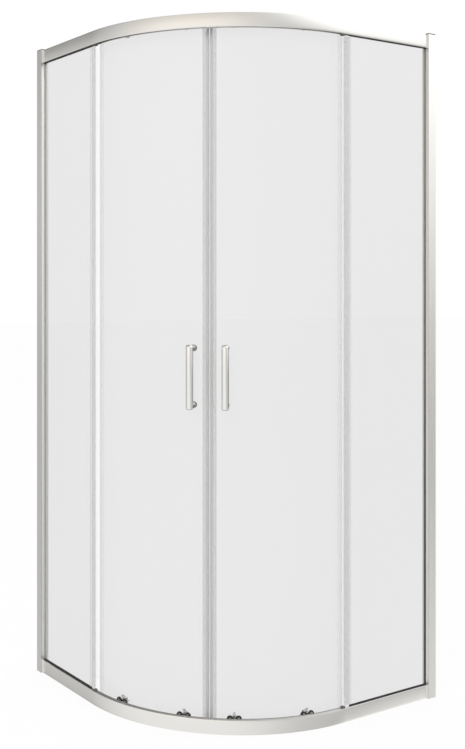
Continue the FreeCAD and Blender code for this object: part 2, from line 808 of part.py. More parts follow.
# --- rubber bumpers on the upper track, where the wheels stop ---
def swung(point, angle):
    """Where a point of the left door lies, seen from the centre of the curve, once it has turned."""
    turn = math.radians(-angle)
    pivot = Vector(pivot_right, pivot_back, 0)
    arm = point - pivot
    x = arm.x * math.cos(turn) - arm.y * math.sin(turn)
    y = arm.x * math.sin(turn) + arm.y * math.cos(turn)
    return pivot + Vector(x, y, 0)


def bumper(start):
    """A rubber block that starts at a distance along the rail from the start of the curve."""
    insets = [wheel_middle - bumper_width / 2, wheel_middle + bumper_width / 2]
    z_span = [hanger_track, hanger_track + bumper_height]
    return block([start, start + bumper_length], insets, z_span)


wheel_middle = wheel_inset + wheel_width / 2
tail_wheel = on_curve(tail_roller_angle, wheel_middle, 0) - curve_centre
open_stop = swung(tail_wheel, door_travel).x - upper_wheel_radius - bumper_gap - bumper_length
shut_turn = lead_roller_angle + arc_angle(upper_wheel_radius + bumper_gap, wheel_middle)
keep("door_bumpers", both([bumper(open_stop), turned(bumper(0), shut_turn)]))

# --- write one file for each named piece ---
os.makedirs("parts", exist_ok=True)
for name, shapes in pieces.items():
    for shape in shapes:
        if not shape.isValid():
            print("not valid:", name)
    result = shapes[0] if len(shapes) == 1 else Part.makeCompound(shapes)
    result.exportStep("parts/%s.step" % name)
print(len(pieces), "pieces")
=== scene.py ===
import math

import bmesh
import bpy
from mathutils import Matrix, Vector


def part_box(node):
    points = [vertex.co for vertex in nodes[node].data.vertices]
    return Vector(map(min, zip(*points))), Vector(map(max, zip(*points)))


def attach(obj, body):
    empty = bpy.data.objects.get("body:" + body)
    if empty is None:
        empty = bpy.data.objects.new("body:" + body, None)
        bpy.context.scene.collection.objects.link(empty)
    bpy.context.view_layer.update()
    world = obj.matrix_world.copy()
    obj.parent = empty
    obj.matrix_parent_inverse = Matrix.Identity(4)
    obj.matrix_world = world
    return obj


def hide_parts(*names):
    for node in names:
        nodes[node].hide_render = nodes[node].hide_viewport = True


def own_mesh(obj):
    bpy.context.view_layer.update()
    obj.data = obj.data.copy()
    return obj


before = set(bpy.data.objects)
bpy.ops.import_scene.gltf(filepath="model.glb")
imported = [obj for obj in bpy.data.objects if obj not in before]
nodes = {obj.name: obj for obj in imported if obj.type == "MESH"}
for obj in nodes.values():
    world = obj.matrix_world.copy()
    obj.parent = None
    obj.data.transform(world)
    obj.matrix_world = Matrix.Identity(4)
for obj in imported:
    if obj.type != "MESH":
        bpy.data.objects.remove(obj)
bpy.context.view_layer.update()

# --- Camera ---
# The whole enclosure seen from outside, a little to the right of its diagonal. The camera stands
# level at chest height, and a small shift puts the enclosure where the picture has it. A look through
# all the panes and strips crosses more clear surfaces than a render follows by itself.
camera_azimuth = math.radians(55.70)
camera_data = bpy.data.cameras.new("camera")
camera_data.lens = 53.44
camera_data.shift_x = 0.0493
camera_data.shift_y = -0.1188
camera = bpy.data.objects.new("camera", camera_data)
camera.location = (2.809, -2.045, 1.2417)
camera.rotation_euler = (math.radians(90), 0, camera_azimuth)
bpy.context.scene.collection.objects.link(camera)
bpy.context.scene.camera = camera
bpy.context.scene.view_settings.view_transform = "Standard"
clear_surfaces_in_line = 32
bpy.context.scene.cycles.transparent_max_bounces = clear_surfaces_in_line


# --- Studio ---
# A white room with soft light. Mirrors of metal see broad soft panels in it: a warm one in front,
# a tall white one on the right and darker cloth on the left and behind.
class Socket:
    """A value in a shader or a geometry tree. Arithmetic on it adds Math nodes."""

    def __init__(self, graph, socket):
        self.graph = graph
        self.socket = socket

    def maths(self, operation, *values):
        return self.graph.node("ShaderNodeMath", {"operation": operation}, dict(enumerate(values)))

    def __add__(self, other):
        return self.maths("ADD", self, other)

    def __sub__(self, other):
        return self.maths("SUBTRACT", self, other)

    def __rsub__(self, other):
        return self.maths("SUBTRACT", other, self)

    def __mul__(self, other):
        return self.maths("MULTIPLY", self, other)

    def __truediv__(self, other):
        return self.maths("DIVIDE", self, other)

    def __pow__(self, other):
        return self.maths("POWER", self, other)

    __radd__ = __add__
    __rmul__ = __mul__


class Graph:
    """The nodes of one material, of the world, or of a tree that makes geometry."""

    def __init__(self, tree):
        self.tree = tree
        tree.nodes.clear()

    def node(self, kind, settings=None, inputs=None, output=0):
        """Add a node: its settings first, then the values or links of its sockets."""
        made = self.tree.nodes.new(kind)
        for name, value in (settings or {}).items():
            setattr(made, name, value)
        for name, value in (inputs or {}).items():
            if isinstance(value, Socket):
                self.tree.links.new(value.socket, made.inputs[name])
            else:
                made.inputs[name].default_value = value
        return Socket(self, made.outputs[output]) if made.outputs else None

    def step(self, value, low, high):
        """0 below low, 1 above high, and smooth between them."""
        limits = {"Value": value, "From Min": low, "From Max": high}
        return self.node("ShaderNodeMapRange", {"interpolation_type": "SMOOTHSTEP"}, limits)

    def band(self, value, low, high, soft):
        """1 between two limits and 0 outside them, with soft edges."""
        return self.step(value, low - soft, low + soft) * (1 - self.step(value, high - soft, high + soft))

    def mix(self, share, first, second):
        """Blend two colours."""
        inputs = {"Factor": share, 6: first, 7: second}
        return self.node("ShaderNodeMix", {"data_type": "RGBA"}, inputs, output=2)


world = bpy.data.worlds.new("studio")
world.use_nodes = True
bpy.context.scene.world = world
room = Graph(world.node_tree)
direction = room.node("ShaderNodeTexCoord")
axes = room.node("ShaderNodeSeparateXYZ", inputs={0: direction})
east = axes
north = Socket(room, axes.socket.node.outputs[1])
height = Socket(room, axes.socket.node.outputs[2])
level = (east * east + north * north + 1e-6) ** 0.5


def towards(azimuth):
    """How nearly a direction lies at an azimuth: 1 there, -1 opposite. 0 is -Y and 90 is +X."""
    turn = math.radians(azimuth)
    return (east * math.sin(turn) - north * math.cos(turn)) / level


def panel(azimuth, outer, inner):
    """A soft upright panel round an azimuth, from its outer to its inner half width."""
    return room.step(towards(azimuth), math.cos(math.radians(outer)), math.cos(math.radians(inner)))


front_panel = panel(12, 77, 0) * (1 - 0.52 * room.step(height, 0.17, 0.38))
low_front = panel(20, 89, 10) * room.step(0 - height, -0.02, 0.22)
right_panel = panel(162, 100, 5) * room.step(height + 0.16 * towards(160), 0.03, 0.54)
right_shade = panel(150, 40, 10) * room.step(0 - height, -0.04, 0.10)
right_floor = panel(159, 27, 17) * room.step(0 - height, 0.15, 0.34)
left_panel = panel(-64, 24, 5) * room.step(height, -0.06, 0.02) * (1 - room.step(height, 0.15, 0.24))
left_cloth = panel(-76, 96, 2) * room.step(height, -0.30, 0.20)
back_cloth = panel(228, 78, 28)
brightness = (
    0.61
    + 0.36 * front_panel * (1 - room.step(0 - height, -0.02, 0.22))
    + 0.13 * panel(22, 45, 5) * room.step(height, -0.02, 0.06) * (1 - room.step(height, 0.20, 0.30))
    + 0.31 * low_front
    + 1.10 * right_panel
    - 0.12 * right_shade
    + 0.62 * right_floor
    + 0.19 * left_panel
    - 0.19 * left_cloth
    - 0.42 * back_cloth
)
warm = (1.0, 0.95, 0.87, 1)
white = (1.0, 1.0, 1.0, 1)
warm_place = panel(22, 62, 6) * room.step(height, -0.10, 0.10)
mirror_colour = room.mix(warm_place, (1.0, 0.99, 0.965, 1), warm)
mirror_light = room.node("ShaderNodeBackground", inputs={0: mirror_colour, 1: brightness})
soft_light = room.node("ShaderNodeBackground", inputs={0: white, 1: 0.85})
backdrop = room.node("ShaderNodeBackground", inputs={0: white, 1: 1.0})
rays = room.node("ShaderNodeLightPath")
ray = {name: Socket(room, rays.socket.node.outputs[name]) for name in (
    "Is Camera Ray", "Is Glossy Ray", "Is Transmission Ray")}
unlit = room.node("ShaderNodeMixShader", inputs={0: ray["Is Glossy Ray"], 1: soft_light, 2: mirror_light})
seen = ray["Is Camera Ray"].maths("MAXIMUM", ray["Is Camera Ray"], ray["Is Transmission Ray"])
lit = room.node("ShaderNodeMixShader", inputs={0: seen, 1: unlit, 2: backdrop})
room.node("ShaderNodeOutputWorld", inputs={0: lit})

key_lamp = bpy.data.lights.new("key_lamp", "AREA")
key_lamp.energy = 26
key_lamp.shape = "RECTANGLE"
key_lamp.size = 1.6
key_lamp.size_y = 1.2
key = bpy.data.objects.new("key_lamp", key_lamp)
key.location = (1.6, -2.6, 3.2)
key.rotation_euler = (Vector((0, 0, 1)) - key.location).to_track_quat("-Z", "Y").to_euler()
key.visible_glossy = False
bpy.context.scene.collection.objects.link(key)

floor_reach = 30.0
floor_drop = 0.0005
floor_mesh = bpy.data.meshes.new("floor")
floor_mesh.from_pydata(
    [(x, y, -floor_drop) for x, y in ((-1, -1), (1, -1), (1, 1), (-1, 1))], [], [(0, 1, 2, 3)])
for corner in floor_mesh.vertices:
    corner.co.x *= floor_reach
    corner.co.y *= floor_reach
floor = bpy.data.objects.new("floor", floor_mesh)
bpy.context.scene.collection.objects.link(floor)
floor_paint = bpy.data.materials.new("pale_floor")
floor_paint.use_nodes = True
paint = Graph(floor_paint.node_tree)
matt = paint.node("ShaderNodeBsdfDiffuse", inputs={"Color": (0.86, 0.86, 0.86, 1)})
glow = paint.node("ShaderNodeEmission", inputs={"Color": white, "Strength": 1.03})
camera_ray = paint.node("ShaderNodeLightPath")
through_glass = Socket(paint, camera_ray.socket.node.outputs["Is Transmission Ray"])
shown = camera_ray.maths("MAXIMUM", camera_ray, through_glass) * 0.86
paint.node("ShaderNodeOutputMaterial", inputs={
    0: paint.node("ShaderNodeMixShader", inputs={0: shown, 1: matt, 2: glow})})
floor_mesh.materials.append(floor_paint)
floor.visible_glossy = False


# --- Rails ---
# Two curved extrusions of aluminium, bent round the front, with a satin anodised face, and the strip
# that covers the lower groove under the doors. Their ends are screwed to the jambs.
class Finish(Graph):
    """One material: a principled shader and what varies over its surface."""

    def __init__(self, name, **constants):
        self.material = bpy.data.materials.new(name)
        self.material.use_nodes = True
        super().__init__(self.material.node_tree)
        self.shader = self.node("ShaderNodeBsdfPrincipled").socket.node
        self.node("ShaderNodeOutputMaterial", inputs={0: Socket(self, self.shader.outputs[0])})
        for socket, value in constants.items():
            self.feed(socket.replace("_", " ").title().replace("Ior", "IOR"), value)
        place = self.node("ShaderNodeTexCoord", output=3)
        split = self.node("ShaderNodeSeparateXYZ", inputs={0: place})
        self.x, self.y, self.z = (Socket(self, output) for output in split.socket.node.outputs)

    def feed(self, socket, value):
        """Put a constant or a link on a socket of the principled shader."""
        if isinstance(value, Socket):
            self.tree.links.new(value.socket, self.shader.inputs[socket])
        else:
            self.shader.inputs[socket].default_value = value

    def noise(self, x, y, z, detail=2.0):
        """Noise over three coordinates that are already in grains, from about 0 to 1."""
        place = self.node("ShaderNodeCombineXYZ", inputs={0: x, 1: y, 2: z})
        return self.node("ShaderNodeTexNoise", inputs={"Vector": place, "Scale": 1.0, "Detail": detail})

    def bump(self, height, depth):
        """Raise the surface by a height from 0 to 1, of a depth in metres."""
        self.feed("Normal", self.node("ShaderNodeBump", inputs={"Height": height, "Distance": depth}))

    def dress(self, *names):
        """Give this finish to CAD nodes."""
        for name in names:
            for holder in nodes[name].material_slots:
                holder.material = self.material


millimetre = 0.001
rail_radius = 528.0
rail_face = 439.5
curve_x = rail_face - rail_radius
arc_length = rail_radius * math.pi / 2
rail_straight = curve_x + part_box("bottom_rail")[0][0] * -1000
sharp_corner = math.radians(28)


def grown(name, tree, base, **values):
    """Let a geometry tree make a mesh from a base mesh, and keep the plain result."""
    piece = bpy.data.objects.new(name, base)
    bpy.context.scene.collection.objects.link(piece)
    modifier = piece.modifiers.new("growth", "NODES")
    modifier.node_group = tree
    for item in tree.interface.items_tree:
        if item.in_out == "INPUT" and item.name in values:
            modifier[item.identifier] = values[item.name]
    state = piece.evaluated_get(bpy.context.evaluated_depsgraph_get())
    mesh = bpy.data.meshes.new_from_object(state)
    piece.modifiers.clear()
    piece.data = mesh
    mesh.name = name
    return piece


def tidied(piece):
    """Weld a mesh, turn its faces outwards and shade it smooth between its sharp corners."""
    work = bmesh.new()
    work.from_mesh(piece.data)
    bmesh.ops.remove_doubles(work, verts=work.verts, dist=1e-6)
    bmesh.ops.recalc_face_normals(work, faces=work.faces)
    for face in work.faces:
        face.smooth = True
    work.to_mesh(piece.data)
    work.free()
    piece.data.set_sharp_from_angle(angle=sharp_corner)
    return piece


def stands_for(piece, body, slot, *replaced):
    """Say which body a piece moves with and what it replaces. The slot argument is not used."""
    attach(piece, body)
    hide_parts(*replaced)


def new_tree(name, **sockets):
    """A geometry tree with named inputs. Gives its graph and a socket for each input."""
    tree = bpy.data.node_groups.new(name, "GeometryNodeTree")
    tree.interface.new_socket("Geometry", in_out="OUTPUT", socket_type="NodeSocketGeometry")
    for label, kind in {"Geometry": "Geometry", **sockets, "Finish": "Material"}.items():
        tree.interface.new_socket(label, in_out="INPUT", socket_type="NodeSocket" + kind)
    graph = Graph(tree)
    source = graph.node("NodeGroupInput").socket.node
    return graph, {output.name: Socket(graph, output) for output in source.outputs if output.name}


def end_tree(graph, made, finish):
    """End a tree as plain geometry with its finish on it."""
    plain = graph.node("GeometryNodeRealizeInstances", inputs={0: made})
    painted = graph.node("GeometryNodeSetMaterial", inputs={"Geometry": plain, "Material": finish})
    graph.node("NodeGroupOutput", inputs={0: painted})


bend, bend_input = new_tree(
    "bent_extrusion", Start="Float", Length="Float", Rings="Int", Radius="Float", Centre="Float")
ruler = bend.node("GeometryNodeCurvePrimitiveLine", inputs={"End": (1, 0, 0)})
ruler = bend.node("GeometryNodeResampleCurve", inputs={"Curve": ruler, "Count": bend_input["Rings"]})
share = bend.node("GeometryNodeSplineParameter")
run = bend_input["Start"] + bend_input["Length"] * share
quarter = bend_input["Radius"] * (math.pi / 2)
on_arc = run.maths("MAXIMUM", 0.0, run.maths("MINIMUM", run, quarter))
spent = run - on_arc
turn = on_arc / bend_input["Radius"]
sine = turn.maths("SINE", turn)
cosine = turn.maths("COSINE", turn)
route_x = bend_input["Centre"] + bend_input["Radius"] * sine + spent * cosine
route_y = spent * sine - bend_input["Centre"] - bend_input["Radius"] * cosine
route = bend.node("ShaderNodeCombineXYZ", inputs={0: route_x, 1: route_y})
ruler = bend.node("GeometryNodeSetPosition", inputs={"Geometry": ruler, "Position": route})
ruler = bend.node("GeometryNodeSetCurveNormal", {"mode": "Z_UP"}, {"Curve": ruler})
drawn = bend.node("GeometryNodeMeshToCurve", inputs={0: bend_input["Geometry"]})
skin = bend.node("GeometryNodeCurveToMesh", inputs={"Curve": ruler, "Profile Curve": drawn})
end_tree(bend, skin, bend_input["Finish"])


def rounded(corners, radius):
    """Round the corners of an outline. A nearly straight corner, as on a crown, stays as it is."""
    points = []
    for index, corner in enumerate(corners):
        here = Vector(corner)
        before = Vector(corners[index - 1]) - here
        after = Vector(corners[(index + 1) % len(corners)]) - here
        bend_angle = math.pi - before.angle(after)
        if bend_angle < math.radians(12):
            points.append(here)
            continue
        cut = min(radius * math.tan(bend_angle / 2), 0.4 * before.length, 0.4 * after.length)
        first = here + before.normalized() * cut
        last = here + after.normalized() * cut
        points.append(first)
        points.append((first + last) * 0.25 + here * 0.5)
        points.append(last)
    return points


def extruded(name, loops, start, length, rings, finish):
    """A rail made from the outlines of its section, as (inset, height) in millimetres."""
    base = bpy.data.meshes.new(name + "_section")
    points = []
    edges = []
    for loop in loops:
        first = len(points)
        points += [(-inset * millimetre, -up * millimetre, 0) for inset, up in loop]
        edges += [(first + number, first + (number + 1) % len(loop)) for number in range(len(loop))]
    base.from_pydata(points, edges, [])
    piece = grown(
        name, bend.tree, base, Start=start * millimetre, Length=length * millimetre, Rings=rings,
        Radius=rail_radius * millimetre, Centre=curve_x * millimetre, Finish=finish.material)
    work = bmesh.new()
    work.from_mesh(piece.data)
    bmesh.ops.remove_doubles(work, verts=work.verts, dist=1e-6)
    rims = [edge for edge in work.edges if edge.is_boundary]
    middle = sum((edge.verts[0].co for edge in rims), Vector()) / len(rims)
    diagonal = Vector((1, 1, 0))
    for side in (-1, 1):
        rim = [edge for edge in rims if side * diagonal.dot(edge.verts[0].co - middle) > 0]
        bmesh.ops.triangle_fill(work, edges=rim, use_beauty=True)
    work.to_mesh(piece.data)
    work.free()
    return tidied(piece)


satin = Finish("satin_rail", metallic=1.0)
beyond_x = satin.x - curve_x * millimetre
beyond_y = 0 - curve_x * millimetre - satin.y
east_of = beyond_x.maths("MAXIMUM", beyond_x, 0.0)
south_of = beyond_y.maths("MAXIMUM", beyond_y, 0.0)
across = (east_of * east_of + south_of * south_of) ** 0.5
drawn_lines = satin.noise(across * 2600, satin.z * 2600, (satin.x + satin.y) * 1.5, detail=3.0)
cloudy = satin.noise(satin.x * 9, satin.y * 9, satin.z * 30)
satin.feed("Base Color", satin.mix(cloudy, (0.86, 0.855, 0.84, 1), (0.90, 0.895, 0.885, 1)))
satin.feed("Roughness", 0.20 + 0.06 * drawn_lines + 0.04 * cloudy)
satin.bump(drawn_lines, 0.000004)

rail_height = 40.0
rail_wall = 1.6
rail_depth = 29.0
web = 2.6
corner_radius = 0.45
groove = (4.0, 14.0)
groove_floor = 19.0
shelf = 27.0
rail_run = arc_length + 2 * rail_straight
rail_rings = 241
crown = [((up / 20 - 1) ** 2, up) for up in range(0, 41, 5)]
lower_outline = rounded(crown + [
    (groove[0], rail_height),
    (groove[0], rail_height - rail_wall),
    (web, rail_height - rail_wall),
    (web, groove_floor),
    (groove[1], groove_floor),
    (groove[1], shelf),
    (rail_depth, shelf),
    (rail_depth, 0),
], corner_radius)
track_hollow = rounded([
    (groove[1] + rail_wall, rail_wall),
    (groove[1] + rail_wall, shelf - rail_wall),
    (rail_depth - rail_wall, shelf - rail_wall),
    (rail_depth - rail_wall, rail_wall),
], corner_radius)
groove_hollow = rounded([
    (web, rail_wall),
    (web, groove_floor - rail_wall),
    (groove[1], groove_floor - rail_wall),
    (groove[1], rail_wall),
], corner_radius)
lower_loops = [lower_outline, track_hollow, groove_hollow]
lower_rail = extruded("bottom_rail_extrusion", lower_loops, -rail_straight, rail_run, rail_rings, satin)
stands_for(lower_rail, "frame", "satin_rail", "bottom_rail")

rail_under = 1957.0
rail_top = rail_under + rail_height
roof = rail_under + 17.0
hanger_track = rail_under + 6.6
upper_outline = rounded([(inset, up + rail_under) for inset, up in crown] + [
    (rail_depth, rail_top),
    (rail_depth, rail_top - rail_wall),
    (web, rail_top - rail_wall),
    (web, roof + rail_wall),
    (groove[1] + rail_wall, roof + rail_wall),
    (groove[1] + rail_wall, hanger_track),
    (rail_depth, hanger_track),
    (rail_depth, hanger_track - rail_wall),
    (groove[1] + rail_wall, hanger_track - rail_wall),
    (groove[1] + rail_wall, rail_under),
    (groove[1], rail_under),
    (groove[1], roof),
    (web, roof),
    (web, rail_under + rail_wall),
    (groove[0], rail_under + rail_wall),
    (groove[0], rail_under),
], corner_radius)
upper_rail = extruded("top_rail_extrusion", [upper_outline], -rail_straight, rail_run, rail_rings, satin)
stands_for(upper_rail, "frame", "satin_rail", "top_rail")

past_stop_block = 10.0
cover_start = past_stop_block / (rail_radius - groove[0]) * rail_radius
cover_outline = rounded([
    (4.6, rail_height - rail_wall),
    (4.6, rail_height),
    (15.4, rail_height),
    (15.4, rail_height - rail_wall),
    (13.4, rail_height - rail_wall),
    (13.4, groove_floor),
    (11.8, groove_floor),
    (11.8, rail_height - rail_wall),
], 0.3)
cover = extruded(
    "groove_cover_strip", [cover_outline], cover_start, arc_length - 2 * cover_start, 141, satin)
stands_for(cover, "frame", "satin_rail", "groove_cover")

# --- Wall channels and jambs ---
# Straight satin extrusions: a channel screwed to each wall, the box section that slides in it and
# the bead that holds the edge of the fixed glass. Jambs and beads have a paler, duller face.
upright_satin = Finish("satin_channel", metallic=1.0)
upright_lines = upright_satin.noise(
    upright_satin.x * 2600, upright_satin.y * 2600, upright_satin.z * 1.5, detail=3.0)
upright_cloud = upright_satin.noise(upright_satin.x * 30, upright_satin.y * 30, upright_satin.z * 6)
upright_satin.feed("Base Color", upright_satin.mix(
    upright_cloud, (0.85, 0.845, 0.83, 1), (0.89, 0.885, 0.875, 1)))
upright_satin.feed("Roughness", 0.22 + 0.06 * upright_lines + 0.04 * upright_cloud)
upright_satin.bump(upright_lines, 0.000004)
upright_satin.dress("left_wall_channel", "right_wall_channel")

jamb_satin = Finish("pale_satin_jamb", metallic=1.0)
jamb_lines = jamb_satin.noise(jamb_satin.x * 2600, jamb_satin.y * 2600, jamb_satin.z * 1.5, detail=3.0)
jamb_satin.feed("Base Color", jamb_satin.mix(jamb_lines, (0.95, 0.945, 0.93, 1), (0.98, 0.975, 0.965, 1)))
jamb_satin.feed("Roughness", 0.36 + 0.08 * jamb_lines)
jamb_satin.bump(jamb_lines, 0.000004)
jamb_satin.dress("left_jamb", "right_jamb", "glazing_beads")


# --- Caps and stop blocks ---
# Small moulded blocks of grey plastic: a cap pushed into the top of each wall channel, and the blocks
# that lock the fixed glass in the grooves of the rails.
class Blank:
    """A small made part, drawn in millimetres in the rail's own directions: along the rail from the
    start of the curve, inwards through the glass, and up."""

    def __init__(self):
        self.shells = []

    def turned(self, axis, centre, profile, sides=48):
        """Turn an outline of (radius, distance) round an axis, 0, 1 or 2. A third value makes that
        ring a polygon with so many corners. The outline starts and ends at radius 0, or is closed."""
        first, second = [number for number in range(3) if number != axis]
        points = []
        rings = []
        for radius, distance, *corners in profile:
            if radius == 0:
                point = list(centre)
                point[axis] = distance
                rings.append([len(points)] * sides)
                points.append(point)
                continue
            rings.append(list(range(len(points), len(points) + sides)))
            for number in range(sides):
                angle = 2 * math.pi * number / sides
                reach = radius
                if corners:
                    sector = 2 * math.pi / corners[0]
                    reach = radius / math.cos(angle % sector - sector / 2)
                point = list(centre)
                point[axis] = distance
                point[first] += reach * math.cos(angle)
                point[second] += reach * math.sin(angle)
                points.append(point)
        pairs = list(zip(rings, rings[1:]))
        if profile[0][0] != 0:
            pairs.append((rings[-1], rings[0]))
        faces = []
        for low, high in pairs:
            for number in range(sides):
                after = (number + 1) % sides
                loop = [low[number], low[after], high[after], high[number]]
                face = list(dict.fromkeys(loop))
                if len(face) > 2:
                    faces.append(face)
        self.shells.append((points, faces))
        return self

    def cut_from(self, axis, outline, span):
        """A flat outline made solid between two places on an axis."""
        first, second = [number for number in range(3) if number != axis]
        points = []
        for distance in span:
            for across_first, across_second in outline:
                point = [0, 0, 0]
                point[axis] = distance
                point[first] = across_first
                point[second] = across_second
                points.append(point)
        count = len(outline)
        faces = [list(range(count)), list(range(count, 2 * count))]
        for number in range(count):
            after = (number + 1) % count
            faces.append([number, after, count + after, count + number])
        self.shells.append((points, faces))
        return self

    def block(self, along, inset, up, radius=0.4):
        """A block with rounded upright corners."""
        outline = [(along[0], inset[0]), (along[1], inset[0]), (along[1], inset[1]), (along[0], inset[1])]
        return self.cut_from(2, rounded(outline, radius), up)

    def made(self, name, finish, side="left", angle=0.0, edge=0.0, holes=None):
        """Set the part in the frame, round the curve by an angle, as one welded mesh."""
        solids = []
        for number, (points, faces) in enumerate(self.shells):
            mesh = bpy.data.meshes.new("%s_%d" % (name, number))
            mesh.from_pydata([laid(point, side, angle) for point in points], [], faces)
            solid = bpy.data.objects.new(mesh.name, mesh)
            bpy.context.scene.collection.objects.link(solid)
            tidied(solid)
            if edge:
                bevel = solid.modifiers.new("edge", "BEVEL")
                bevel.width = edge * millimetre
                bevel.segments = 2
                bevel.limit_method = "ANGLE"
                bevel.angle_limit = math.radians(50)
            solids.append(solid)
        tools = []
        if holes:
            tools = [holes.made(name + "_hole", finish, side, angle)]
        piece = solids[0]
        for tool in solids[1:] + tools:
            joint = piece.modifiers.new("joint", "BOOLEAN")
            joint.operation = "DIFFERENCE" if tool in tools else "UNION"
            joint.solver = "EXACT"
            joint.object = tool
        state = piece.evaluated_get(bpy.context.evaluated_depsgraph_get())
        mesh = bpy.data.meshes.new_from_object(state)
        for solid in solids + tools:
            bpy.data.objects.remove(solid)
        mesh.materials.clear()
        mesh.materials.append(finish.material)
        mesh.name = name
        piece = bpy.data.objects.new(name, mesh)
        bpy.context.scene.collection.objects.link(piece)
        return tidied(piece)


def laid(point, side, angle):
    """Where a point of a blank lies in the frame, in metres."""
    place = Vector((point[0], point[1] - rail_radius, 0))
    place.rotate(Matrix.Rotation(math.radians(angle), 3, "Z"))
    x = place.x + curve_x
    y = place.y - curve_x
    if side == "right":
        x, y = -y, -x
    return Vector((x, y, point[2])) * millimetre


def joined(name, parts):
    """Several made parts of one node as one piece."""
    work = bmesh.new()
    for part in parts:
        work.from_mesh(part.data)
    mesh = bpy.data.meshes.new(name)
    work.to_mesh(mesh)
    work.free()
    for material in parts[0].data.materials:
        mesh.materials.append(material)
    for part in parts:
        bpy.data.objects.remove(part)
    piece = bpy.data.objects.new(name, mesh)
    bpy.context.scene.collection.objects.link(piece)
    return tidied(piece)


sides = ("left", "right")
moulded_grey = Finish("moulded_grey", roughness=0.5)
speckle = moulded_grey.noise(moulded_grey.x * 1800, moulded_grey.y * 1800, moulded_grey.z * 1800)
moulded_grey.feed("Base Color", moulded_grey.mix(speckle, (0.11, 0.11, 0.11, 1), (0.15, 0.15, 0.15, 1)))
moulded_grey.bump(speckle, 0.00003)
moulded_grey.dress("glass_stop_blocks")
wall = -445.0 - curve_x
jamb_front = 31.0
cap_thickness = 3.0
cap_leg_length = 12.0
caps = []
for side in sides:
    cap = Blank()
    cap.block((wall, wall + jamb_front), (-5.5, 20), (rail_top, rail_top + cap_thickness), radius=1.2)
    cap.block((wall + 12, wall + 23.2), (0.5, 14), (rail_top - cap_leg_length, rail_top + 0.5), radius=0.8)
    caps.append(cap.made(side + "_cap", moulded_grey, side, edge=0.6))
stands_for(joined("channel_cap_mouldings", caps), "frame", "grey_cap", "channel_caps")

# --- Glass ---
# Four panes of 6 mm clear toughened glass: two flat, in the grooves, and two bent, that hang on
# rollers. Their edges are ground and polished.
clear = Finish("clear_glass", ior=1.5)
waves = clear.noise(clear.x * 2.5, clear.y * 2.5, clear.z * 2.0)
clear.feed("Base Color", clear.mix(waves, (0.30, 0.312, 0.308, 1), (0.34, 0.350, 0.347, 1)))
clear.feed("Roughness", 0.02 + 0.02 * waves)
slant = clear.node("ShaderNodeLayerWeight", inputs={"Blend": 0.5}, output=1)
clear.feed("Alpha", 0.14 + 0.30 * slant ** 5)
panes = ["left_fixed_glass", "right_fixed_glass", "left_door_glass", "right_door_glass"]
clear.dress(*panes)
for pane in panes:
    nodes[pane].visible_glossy = False

# --- Rubber ---
# Glazing rubber round the fixed panes, black in the rails and pale in the upright beads. That pale is partly
# lightened to offset the shade in their slot, which is painted light. The inner leg on the right side has
# painted shade, dark at the foot and warm grey above. The bumpers that stop the doors in the upper track
# are black.
rubber = Finish("black_rubber", roughness=0.62)
grain = rubber.noise(rubber.x * 700, rubber.y * 700, rubber.z * 700, detail=4.0)
black = rubber.mix(grain, (0.022, 0.022, 0.022, 1), (0.045, 0.045, 0.044, 1))
upright_part = rubber.step(rubber.z, 0.042, 0.043) * (1 - rubber.step(rubber.z, 1.954, 1.955))
rubber_inset = rail_face * millimetre - rubber.x.maths("MAXIMUM", rubber.x, 0 - rubber.y)
# Painted shade: marks the inner leg of the right-hand upright gasket, where the recess is in shade
right_leg_painted_shade = rubber.step(rubber.x, 0.0, 0.1) * rubber.step(rubber_inset, 0.0117, 0.0119)
# Painted shade by height: dark at the foot, warm grey above
painted_shade_by_height = rubber.mix(rubber.step(rubber.z, 0.1, 1.9), (0.06, 0.058, 0.055, 1), (0.52, 0.48, 0.40, 1))
# The pale grey is partly lightened to offset the shade in the slot (painted light), and the right inner leg
# gets the painted shade
upright_rubber_painted_light_and_shade = rubber.mix(right_leg_painted_shade, (0.84, 0.84, 0.82, 1), painted_shade_by_height)
rubber.feed("Base Color", rubber.mix(upright_part, black, upright_rubber_painted_light_and_shade))
rubber.bump(grain, 0.00004)
rubber.dress("glazing_gaskets", "door_bumpers")

# --- Seal strips ---
# Translucent strips pushed on the edges of the glass, clearer in their fins and bulbs, and the washers
# between the handles and the glass. The meeting strips hold a bar magnet each.
strip = Finish("clear_strip", roughness=0.38, ior=1.46)
ribs = strip.noise(strip.x * 500, strip.y * 500, strip.z * 1.2)
strip.feed("Base Color", strip.mix(ribs, (0.44, 0.44, 0.44, 1), (0.50, 0.50, 0.50, 1)))
strip_inset = rail_face * millimetre - strip.x.maths("MAXIMUM", strip.x, 0 - strip.y)
strip_along = strip.x.maths("MINIMUM", strip.x, 0 - strip.y) - curve_x * millimetre
bulb = strip.band(strip_along, -0.0015, 0.02, 0.0005)
fin = strip.band(strip_inset, 0.0140, 0.05, 0.0005)
strip.feed("Alpha", (0.105 + 0.02 * ribs) * (1 - 0.8 * bulb) * (1 - 0.7 * fin))
strip.dress(*[side + piece for side in ("left_", "right_") for piece in (
    "fixed_seal", "tail_seal", "magnet_strip", "handle_washers")])

bar_magnet = Finish("bar_magnet", roughness=0.7)
dust = bar_magnet.noise(bar_magnet.x * 900, bar_magnet.y * 900, bar_magnet.z * 900)
bar_magnet.feed("Base Color", bar_magnet.mix(dust, (0.66, 0.66, 0.66, 1), (0.72, 0.72, 0.72, 1)))
bar_magnet.dress("left_magnet_bar", "right_magnet_bar")

